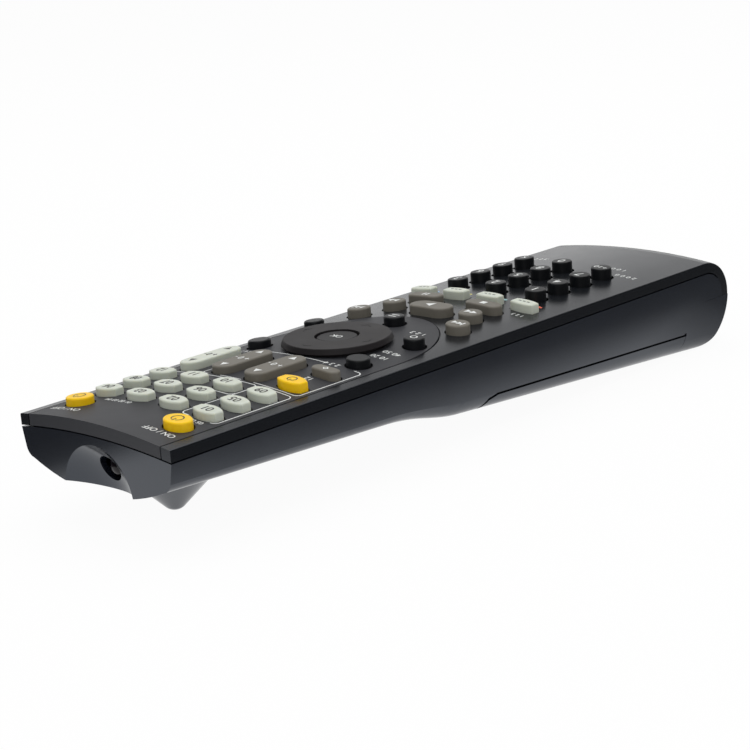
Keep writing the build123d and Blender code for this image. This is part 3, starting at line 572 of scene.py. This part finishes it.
def arrows(across, setback, size, direction):
    """Two triangles in a row that point to -X or +X."""
    turn = -90 * direction
    return [
        disc(across + step * size * direction, setback, size * ARROW_RADIUS, 3, turn)
        for step in ARROW_STEPS
    ]


for key, direction in (("rewind_key", -1), ("fast_forward_key", 1)):
    sign_on(key, arrows(*KEY_AT[key], WIND_SIZE, direction))
for key, direction in (("skip_back_key", -1), ("skip_forward_key", 1)):
    across, setback = KEY_AT[key]
    signs = arrows(across + SKIP_PAIR_STEP * direction, setback, SKIP_SIZE, direction)
    signs.append(bar(across + SKIP_BAR_STEP * direction, setback, *SKIP_BAR, 90))
    sign_on(key, signs)
across, setback = KEY_AT["play_key"]
sign_on("play_key", [disc(across + PLAY_STEP, setback, PLAY_RADIUS, 3, -90)])
print("keys with triangles: 5")

# %% Square of the stop key and bars of the pause key
# Half the diagonal of the square, half the way between the bars, and a bar's length and width
STOP_RADIUS = 1.25
PAUSE_STEP = 0.65
PAUSE_BAR = (1.9, 0.6)
sign_on("stop_key", [disc(*KEY_AT["stop_key"], STOP_RADIUS, 4, 45)])
across, setback = KEY_AT["pause_key"]
pause_bars = [bar(across + side * PAUSE_STEP, setback, *PAUSE_BAR, 90) for side in (-1, 1)]
sign_on("pause_key", pause_bars)
print("square with a side of", round(STOP_RADIUS * math.sqrt(2), 2), "mm, and two bars")

# %% [markdown]
# A rocker is pressed at either end, so it has a triangle at each and a plus, a nought and a
# minus between them. The white rocker is printed dark and the grey ones white.

# %% Signs on the rockers
# Places, the step from the middle to a triangle, its radius and the height of the signs, in mm
INNER_COLUMN = 5.99
ROCKER_SETBACK = 52.4
ROCKER_ARROW_STEP = 6.0
ROCKER_ARROW_RADIUS = 1.3
ROCKER_SIGN_HEIGHT = 2.0
for rocker, across, colour in (
    ("tv_volume_rocker", -INNER_COLUMN, "white"),
    ("channel_rocker", INNER_COLUMN, "white"),
    ("volume_rocker", OUTER_COLUMN, "dark"),
):
    signs = [
        disc(across, ROCKER_SETBACK + step, ROCKER_ARROW_RADIUS, 3, turn)
        for step, turn in ((-ROCKER_ARROW_STEP, 0), (ROCKER_ARROW_STEP, 180))
    ]
    signs.append(words("+ 0 -", across, ROCKER_SETBACK, ROCKER_SIGN_HEIGHT))
    print_on(f"{rocker}_signs", rocker, rocker, colour, signs)
print("rockers with signs: 3")

# %% [markdown]
# The keys that are left get the plainest signs there are: a ring, two bars, a square ring, and a
# row of three dashes on each of the four white keys near the pad.

# %% Signs on the keys round the dial and near the pad
# Widths and radii of the rings, then each bar or dash and its step from the middle, in mm
RING_LINE = 0.28
RETURN_RADIUS, TV_INPUT_RADIUS = 1.0, 0.9
DISPLAY_BAR, DISPLAY_STEP = (2.6, 0.4), 0.7
DASH, DASH_STEP = (0.8, 0.45), 1.4
sign_on("return_key", [ring(*KEY_AT["return_key"], RETURN_RADIUS, RING_LINE)])
across, setback = KEY_AT["display_key"]
display_bars = [bar(across, setback + side * DISPLAY_STEP, *DISPLAY_BAR) for side in (-1, 1)]
sign_on("display_key", display_bars)
sign_on("tv_input_key", [ring(*KEY_AT["tv_input_key"], TV_INPUT_RADIUS, RING_LINE, 4)])
for key in ("red_key", "green_key", "yellow_key", "blue_key"):
    across, setback = KEY_AT[key]
    sign_on(key, [bar(across + side * DASH_STEP, setback, *DASH) for side in (-1, 0, 1)], "dark")
print("plain signs: 7")

# %% [markdown]
# The dial has a dark chevron on each of its four ways, made of two bars that lean against each
# other. The enter key in its middle has a plain OK.

# %% Dial and enter key
# Middle of the dial, and how far out the chevrons lie on it, in mm
DIAL_SETBACK = 79.7
CHEVRON_RADIUS = 11.2
# Each bar: half the way between their middles, length and width in mm, and lean in degrees
CHEVRON_STEP, CHEVRON_BAR, CHEVRON_LEAN = 0.75, (2.0, 0.45), 32
ENTER_SIGN_HEIGHT = 1.9
chevrons = []
for turn in (0, 90, 180, 270):
    angle = math.radians(turn)
    for side in (-1, 1):
        out = Vector((math.sin(angle), math.cos(angle)))
        sideways = Vector((math.cos(angle), -math.sin(angle)))
        middle = out * CHEVRON_RADIUS + sideways * side * CHEVRON_STEP
        lean = -turn - side * CHEVRON_LEAN
        chevrons.append(bar(middle.x, DIAL_SETBACK - middle.y, *CHEVRON_BAR, lean))
print_on("dial_chevrons", "dial_ring", "dial_ring", "black", chevrons)
sign_on("enter_key", [words("OK", 0, DIAL_SETBACK, ENTER_SIGN_HEIGHT)])
print("chevrons:", len(chevrons) // 2)

# %% [markdown]
# Thin white frames on the panel tie keys together. Each starts as a plane, gets rounded corners
# by a vertex bevel and becomes a line by an inset whose inner face is deleted. Cuts every
# millimetre and a half across let it follow the crown.

# %% A frame line
# Width of the line, its corners and the way from cut to cut, in mm
LINE = 0.28
CORNER, CORNER_SEGMENTS = 1.6, 6
CUT_STEP = 1.5


def frame_line(left, right, front, tail, notch=None):
    """Rounded frame between two places across and two setbacks, less a notch at its front left."""
    deselect()
    middle = place((left + right) / 2, (front + tail) / 2, HOVER)
    bpy.ops.mesh.primitive_plane_add(size=1.0, location=middle)
    flat = bpy.context.object
    flat.scale = ((right - left) * MM, (tail - front) * MM, 1.0)
    bpy.ops.object.transform_apply(location=True, rotation=True, scale=True)
    bpy.ops.object.mode_set(mode="EDIT")
    if notch:
        notch_x, notch_y = notch[0] * MM, place(0, notch[1]).y
        for point, normal in (((notch_x, 0, 0), (1, 0, 0)), ((0, notch_y, 0), (0, 1, 0))):
            bpy.ops.mesh.select_all(action="SELECT")
            bpy.ops.mesh.bisect(plane_co=point, plane_no=normal)
        mesh = bmesh.from_edit_mesh(flat.data)
        for face in mesh.faces:
            middle = face.calc_center_median()
            face.select = middle.x < notch_x and middle.y > notch_y
        bmesh.update_edit_mesh(flat.data)
        bpy.ops.mesh.delete(type="FACE")
        bpy.ops.mesh.select_all(action="SELECT")
        bpy.ops.mesh.dissolve_limited()
    bpy.ops.mesh.select_all(action="SELECT")
    bpy.ops.mesh.bevel(offset=CORNER * MM, segments=CORNER_SEGMENTS, affect="VERTICES")
    bpy.ops.mesh.select_all(action="SELECT")
    bpy.ops.mesh.inset(thickness=LINE * MM)
    bpy.ops.mesh.delete(type="FACE")
    for cut in range(int((right - left) / CUT_STEP)):
        bpy.ops.mesh.select_all(action="SELECT")
        edge = (left + (cut + 1) * CUT_STEP) * MM
        bpy.ops.mesh.bisect(plane_co=(edge, 0, 0), plane_no=(1, 0, 0))
    bpy.ops.object.mode_set(mode="OBJECT")
    return flat


print("frame line:", LINE, "mm wide, with corners of", CORNER, "mm")

# %% [markdown]
# A frame is open where a caption stands in it or where its side is shared with the next one. The
# frame round the source keys steps back at its front left, so that two keys of the second column
# stay outside it.

# %% Frames on the panel


def open_line(flat, left, right, front, tail):
    """Deletes the faces of a line inside a box, as a gap for a caption or a shared side."""
    low, high = place(left, tail), place(right, front)
    bpy.context.view_layer.objects.active = flat
    flat.select_set(True)
    bpy.ops.object.mode_set(mode="EDIT")
    mesh = bmesh.from_edit_mesh(flat.data)
    for face in mesh.faces:
        middle = face.calc_center_median()
        face.select = low.x < middle.x < high.x and low.y < middle.y < high.y
    bmesh.update_edit_mesh(flat.data)
    bpy.ops.mesh.delete(type="FACE")
    bpy.ops.object.mode_set(mode="OBJECT")


# Left, right, front and tail of each frame, its notch as across and setback, and its gaps
FRAMES = {
    "near_block": ((-22.9, -10.9, 17.2, 42.1), None, [(-20.9, -15.8, 16, 18.5)]),
    "source_block": (
        (-10.9, 22.0, 17.2, 42.1), (2.0, 33.0), [(3.4, 15.6, 16, 18.5), (-12.0, -10.5, 34.8, 40.3)]
    ),
    "screen_block": ((-23.1, 11.2, 42.9, 65.4), None, [(-19.4, -10.4, 64.5, 66.5)]),
}
for name, (sides, notch, gaps) in FRAMES.items():
    flat = frame_line(*sides, notch)
    for gap in gaps:
        open_line(flat, *gap)
    print_on(f"{name}_line", "face_panel", "case", "white", [flat])
print("frames on the panel:", len(FRAMES))

# %% [markdown]
# Small captions stand beside the keys, where the gaps between the holes leave room. They are
# plain numbers and ON / OFF. All those on one part of the case are joined into one piece of ink,
# because one screen prints them together.

# %% Captions on the face
CAPTION, SMALL_CAPTION = 1.8, 1.4
# Text, across, setback and height of the digits
captions = {
    "face_panel": [
        ("ON / OFF", -17.1, 5.9, CAPTION),
        ("ON / OFF", 17.1, 5.9, CAPTION),
        ("01 02 03 04", 9.5, 15.7, SMALL_CAPTION),
        ("05 06", -18.4, 15.7, SMALL_CAPTION),
        ("12", -16.1, 53.8, CAPTION),
        ("1 2 3 4", -13.3, 65.4, CAPTION),
        ("5 6 7 8", 18.2, 63.9, SMALL_CAPTION),
        ("10 20", -17.3, 77.2, CAPTION),
        ("40 50", -17.6, 81.4, CAPTION),
        ("1 2 3", -11.4, 97.8, CAPTION),
        ("1 2 3 4 5", 17.6, 96.0, CAPTION),
    ],
    "upper_case": [
        ("1 2 3", -19.7, 127.7, SMALL_CAPTION),
        ("4 5", 12.15, 131.6, SMALL_CAPTION),
        ("1 0 0", -12.9, 181.1, CAPTION),
        ("2 0 0 0", -18.9, 176.3, CAPTION),
        ("3 0 0", 17.4, 183.0, CAPTION),
    ],
}
for carrier, rows in captions.items():
    shapes = [words(*row) for row in rows]
    print_on(f"{carrier}_captions", carrier, "case", "white", shapes)
print("captions:", sum(len(rows) for rows in captions.values()))

# %% [markdown]
# The four white keys near the pad are told apart by an oval mark of colour on the case behind
# each. A disc is stretched to the oval before it is dropped.

# %% Colour marks behind the four white keys
# Setback, half the size across and lengthwise, sides, and the place of each across, in mm
MARK_SETBACK = 136.9
MARK_HALF = (1.7, 0.75)
MARK_SIDES = 24
MARK_ACROSS = {"red": -18.8, "green": -6.7, "yellow": 6.1, "blue": 18.2}
for colour, across in MARK_ACROSS.items():
    mark = disc(across, MARK_SETBACK, 1.0, MARK_SIDES)
    mark.scale = (*MARK_HALF, 1.0)
    print_on(f"{colour}_key_mark", "upper_case", "case", colour, [mark])
print("colour marks:", len(MARK_ACROSS))

# %% [markdown]
# The object stands on a pale table in a pale room, as in a catalogue studio. The camera sees both
# as white. A mirror sees bright and dark places painted for it alone: a painted pool of light on
# the table and a painted backdrop in the room, so the case shows painted reflections. That white
# and these painted places reach only these rays, so they add no light to the object. One helper
# tells such rays from the others, and one sets the steps of a grey ramp.

# %% Helpers for the studio


def seen_directly(tree):
    """One for rays that come from the camera, a mirror or glass, and nought for the others."""
    path = node(tree, "ShaderNodeLightPath")
    first = node(
        tree, "ShaderNodeMath",
        [(0, path.outputs["Is Camera Ray"]), (1, path.outputs["Is Glossy Ray"])],
        operation="MAXIMUM",
    )
    return node(
        tree, "ShaderNodeMath",
        [(0, first.outputs[0]), (1, path.outputs["Is Transmission Ray"])],
        operation="MAXIMUM",
    ).outputs[0]


def set_stops(ramp, stops):
    """Gives a colour ramp its stops, each a position and a grey level."""
    elements = ramp.color_ramp.elements
    while len(elements) < len(stops):
        elements.new(0.5)
    for element, (position, level) in zip(elements, stops):
        element.position = position
        element.color = (level, level, level, 1.0)


print("rays that see the studio: camera, glossy and transmission")

# %% [markdown]
# A satin side mirrors a long painted pool of light on the table, so it is dark above and gets
# lighter towards the floor: a painted reflection, since the pool is a glow that only a mirror sees
# and no lamp makes. The pool is a rectangle round the object: the larger of the two distances
# from its middle, each as a share of its size, runs through a ramp that fades it out.

# %% The table and its painted pool of light
TABLE_SIDE = 8.0
TABLE_WHITE = "#f2f2f2"
TABLE_GLOW = 0.95
# Half the painted pool of light across and lengthwise, and how far its middle lies towards the
# front
PAINTED_POOL_HALF = (50.0, 155.0)
PAINTED_POOL_AHEAD = 38.0
# Share of the way to twice the edge of the pool, and the painted share of white that a mirror sees
# there
PAINTED_POOL_STOPS = ((0.0, 1.0), (0.38, 1.0), (0.48, 0.45), (0.56, 0.12), (0.75, 0.03))
deselect()
bpy.ops.mesh.primitive_plane_add(size=TABLE_SIDE, location=(0, 0, 0))
table = bpy.context.object
table.name = "table"
finish = empty_material("white_table")
tree = finish.node_tree
spot = node(tree, "ShaderNodeTexCoord").outputs["Object"]
# The painted pool of light: a glow round the object that only mirrors see
in_painted_pool = node(
    tree, "ShaderNodeMapping", [("Vector", spot)], vector_type="TEXTURE",
    Location=(0, PAINTED_POOL_AHEAD * MM, 0), Scale=(2 * PAINTED_POOL_HALF[0] * MM, 2 * PAINTED_POOL_HALF[1] * MM, 1.0),
)
outward = node(tree, "ShaderNodeVectorMath", [(0, in_painted_pool.outputs[0])], operation="ABSOLUTE")
ways = node(tree, "ShaderNodeSeparateXYZ", [("Vector", outward.outputs[0])])
farthest = node(
    tree, "ShaderNodeMath", [(0, ways.outputs["X"]), (1, ways.outputs["Y"])], operation="MAXIMUM"
)
ramp = node(tree, "ShaderNodeValToRGB", [("Fac", farthest.outputs[0])])
set_stops(ramp, PAINTED_POOL_STOPS)
camera_ray = node(tree, "ShaderNodeLightPath").outputs["Is Camera Ray"]
seen_level = node(
    tree, "ShaderNodeMath", [(0, ramp.outputs["Color"]), (1, camera_ray)], operation="MAXIMUM"
)
paint = node(tree, "ShaderNodeBsdfDiffuse", Color=linear(TABLE_WHITE))
# Plain white for the camera, and the painted pool of light for mirrors
glow = node(
    tree, "ShaderNodeEmission", [("Strength", seen_level.outputs[0])], Color=(1, 1, 1, 1)
)
share = node(tree, "ShaderNodeMath", [(0, seen_directly(tree))], operation="MULTIPLY")
share.inputs[1].default_value = TABLE_GLOW
blend = node(tree, "ShaderNodeMixShader", [("Fac", share.outputs[0])])
tree.links.new(paint.outputs[0], blend.inputs[1])
tree.links.new(glow.outputs[0], blend.inputs[2])
node(tree, "ShaderNodeOutputMaterial", [("Surface", blend.outputs[0])])
table.data.materials.append(finish)
print("pool of light:", [2 * half for half in PAINTED_POOL_HALF], "mm")

# %% [markdown]
# The top mirrors a painted backdrop behind the object, which is brighter near the floor, so the
# top gets lighter towards the tail: a painted reflection, as the backdrop shines for mirrors alone
# and lights nothing. The sides of the room are painted dark for a mirror. All other rays meet an
# even sky, which gives most of the light.

# %% The room and its painted backdrop
SKY = 0.6
# Height on the unit sphere, and the share of painted white that a mirror sees there
PAINTED_HEIGHT_STOPS = ((0.0, 1.0), (0.12, 1.0), (0.3, 0.84), (0.42, 0.6), (0.6, 0.35))
# The way to the painted backdrop, and the cosines to it at which it starts and is full
PAINTED_BACKDROP_WAY = (1.0, -1.0, 0.0)
PAINTED_BACKDROP_START, PAINTED_BACKDROP_FULL = 0.35, 0.8
# Painted dark of the room's sides, which only a mirror sees
PAINTED_SIDE_LEVEL = 0.04
room = bpy.data.worlds.new("white_room")
bpy.context.scene.world = room
room.use_nodes = True
tree = room.node_tree
tree.nodes.clear()
direction = node(tree, "ShaderNodeTexCoord").outputs["Generated"]
height = node(tree, "ShaderNodeSeparateXYZ", [("Vector", direction)]).outputs["Z"]
ramp = node(tree, "ShaderNodeValToRGB", [("Fac", height)])
set_stops(ramp, PAINTED_HEIGHT_STOPS)
away = node(tree, "ShaderNodeVectorMath", [(0, direction)], operation="DOT_PRODUCT")
away.inputs[1].default_value = Vector(PAINTED_BACKDROP_WAY).normalized()
backdrop = node(
    tree, "ShaderNodeMapRange", [("Value", away.outputs["Value"])],
    From_Min=PAINTED_BACKDROP_START, From_Max=PAINTED_BACKDROP_FULL, To_Min=PAINTED_SIDE_LEVEL,
)
# Painted reflection: the backdrop as a mirror sees it, dark at the sides
painted_reflection_level = node(
    tree, "ShaderNodeMath", [(0, ramp.outputs["Color"]), (1, backdrop.outputs["Result"])],
    operation="MULTIPLY",
)
camera_ray = node(tree, "ShaderNodeLightPath").outputs["Is Camera Ray"]
level = node(
    tree, "ShaderNodeMath", [(0, camera_ray), (1, painted_reflection_level.outputs[0])], operation="MAXIMUM"
)
sky = node(tree, "ShaderNodeBackground", Color=(1, 1, 1, 1), Strength=SKY)
white = node(tree, "ShaderNodeBackground", [("Strength", level.outputs[0])], Color=(1, 1, 1, 1))
blend = node(tree, "ShaderNodeMixShader", [("Fac", seen_directly(tree))])
tree.links.new(sky.outputs[0], blend.inputs[1])
tree.links.new(white.outputs[0], blend.inputs[2])
node(tree, "ShaderNodeOutputWorld", [("Surface", blend.outputs[0])])
print("sky:", SKY, "and backdrop from", PAINTED_BACKDROP_START, "to", PAINTED_BACKDROP_FULL)

# %% [markdown]
# Two large soft lamps give the light a side: one above and a weaker one in front, on the side of
# the camera. Their mirror image is toned down, so that it doesn't bleach the satin top.

# %% The lamps
LAMP_IN_GLOSS = 0.4
# Name, place and side in m, and power in W
for name, spot, size, power in (
    ("soft_box_above", (0.1, -0.2, 0.9), 1.0, 5.0),
    ("soft_box_front", (-0.6, 0.7, 0.5), 0.6, 1.2),
):
    data = bpy.data.lights.new(name, "AREA")
    data.shape = "SQUARE"
    data.size = size
    data.energy = power
    data.specular_factor = LAMP_IN_GLOSS
    lamp = bpy.data.objects.new(name, data)
    bpy.context.scene.collection.objects.link(lamp)
    lamp.location = spot
    lamp.rotation_euler = (-Vector(spot)).to_track_quat("-Z", "Y").to_euler()
bpy.context.scene.view_settings.view_transform = "Standard"
